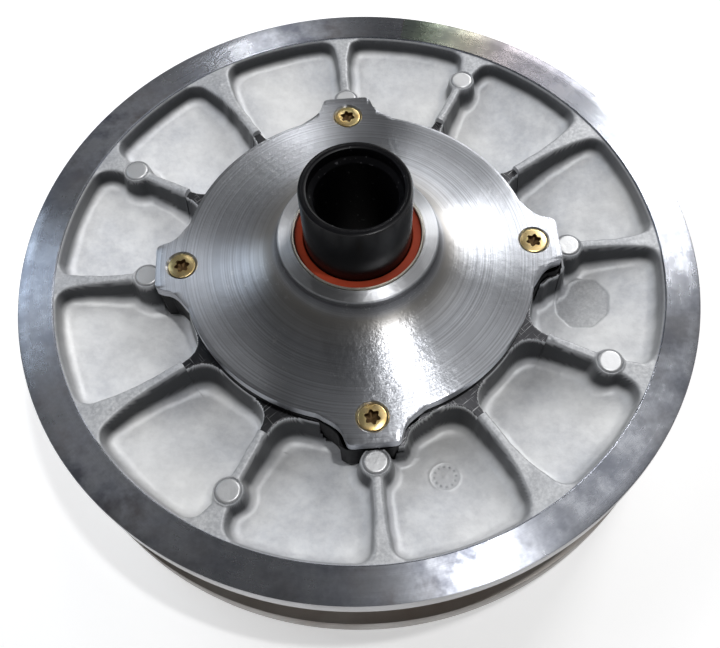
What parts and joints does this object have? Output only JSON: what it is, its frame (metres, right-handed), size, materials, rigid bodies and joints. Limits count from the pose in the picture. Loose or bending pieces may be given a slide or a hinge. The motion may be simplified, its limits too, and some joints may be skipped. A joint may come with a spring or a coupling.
{
  "type": "cvt pulley set",
  "caption": "Driven pulley of a belt variator: a ribbed aluminium sheave slides and turns against a fixed one on a black post, with a bell-shaped cover",
  "frame": {"origin": "on the pulley's axis, at the underside of the post's flange", "axes": "+Z along the post's axis from the fixed sheave to the moveable sheave and the cover; ribs and cover lobes lie on X and Y"},
  "size_m": [0.29, 0.29, 0.119],
  "materials": {
    "cast_aluminium": "tumbled casting with turned rims and belt faces",
    "turned_aluminium": "lathe-turned, light scuffs",
    "black_steel": "black oxide on steel, semi-gloss",
    "steel": "machined steel",
    "spring_steel": "oiled spring steel",
    "yellow_zinc": "yellow zinc plate on steel",
    "wear_liner": "red-brown wear material",
    "bushing_shell": "tinned steel backing",
    "bronze": "sintered bronze",
    "roller_polymer": "moulded engineering polymer"
  },
  "bodies": {
    "fixed_side": {"post": "black_steel", "fixed_sheave": "cast_aluminium", "flange_screw_1": "steel", "flange_screw_2": "steel", "flange_screw_3": "steel", "flange_screw_4": "steel", "flange_screw_5": "steel", "flange_screw_6": "steel", "spider": "steel", "spider_ring": "spring_steel", "spring": "spring_steel", "roller_pin_1": "steel", "roller_pin_2": "steel", "roller_pin_3": "steel", "pin_clip_1": "spring_steel", "pin_clip_2": "spring_steel", "pin_clip_3": "spring_steel"},
    "spring_seat": {"spring_seat": "steel"},
    "moveable_side": {"moveable_sheave": "cast_aluminium", "lower_bushing": "bronze", "cam": "black_steel", "cover": "turned_aluminium", "bushing_shell": "bushing_shell", "bushing_liner": "wear_liner", "cover_screw_1": "yellow_zinc", "cover_screw_2": "yellow_zinc", "cover_screw_3": "yellow_zinc", "cover_screw_4": "yellow_zinc"},
    "roller_1": {"roller_1": "roller_polymer", "roller_bush_1": "bronze"},
    "roller_2": {"roller_2": "roller_polymer", "roller_bush_2": "bronze"},
    "roller_3": {"roller_3": "roller_polymer", "roller_bush_3": "bronze"}
  },
  "joints": [
    {"name": "shift", "type": "slide", "parent": "fixed_side", "child": "spring_seat", "axis": [0, 0, 1], "range_m": [0, 0.027], "stiffness_N_per_m": 3000, "springref_m": -0.005, "deforming": ["spring"]},
    {"name": "cam_twist", "type": "hinge", "parent": "spring_seat", "child": "moveable_side", "pos_m": [0, 0, 0.068], "axis": [0, 0, 1], "range_deg": [0, 30]},
    {"name": "roller_spin_1", "type": "hinge", "parent": "fixed_side", "child": "roller_1", "pos_m": [0.04729, 0.0273, 0.0562], "axis": [0.866, 0.5, 0], "range_deg": [0, 285]},
    {"name": "roller_spin_2", "type": "hinge", "parent": "fixed_side", "child": "roller_2", "pos_m": [-0.04729, 0.0273, 0.0562], "axis": [-0.866, 0.5, 0], "range_deg": [0, 285]},
    {"name": "roller_spin_3", "type": "hinge", "parent": "fixed_side", "child": "roller_3", "pos_m": [0, -0.0546, 0.0562], "axis": [0, -1, 0], "range_deg": [0, 285]}
  ],
  "couplings": [
    {"joint": "cam_twist", "follows": "shift", "rad_per_m": 19.392},
    {"joint": "roller_spin_1", "follows": "shift", "rad_per_m": 182.05},
    {"joint": "roller_spin_2", "follows": "shift", "rad_per_m": 182.05},
    {"joint": "roller_spin_3", "follows": "shift", "rad_per_m": 182.05}
  ]
}
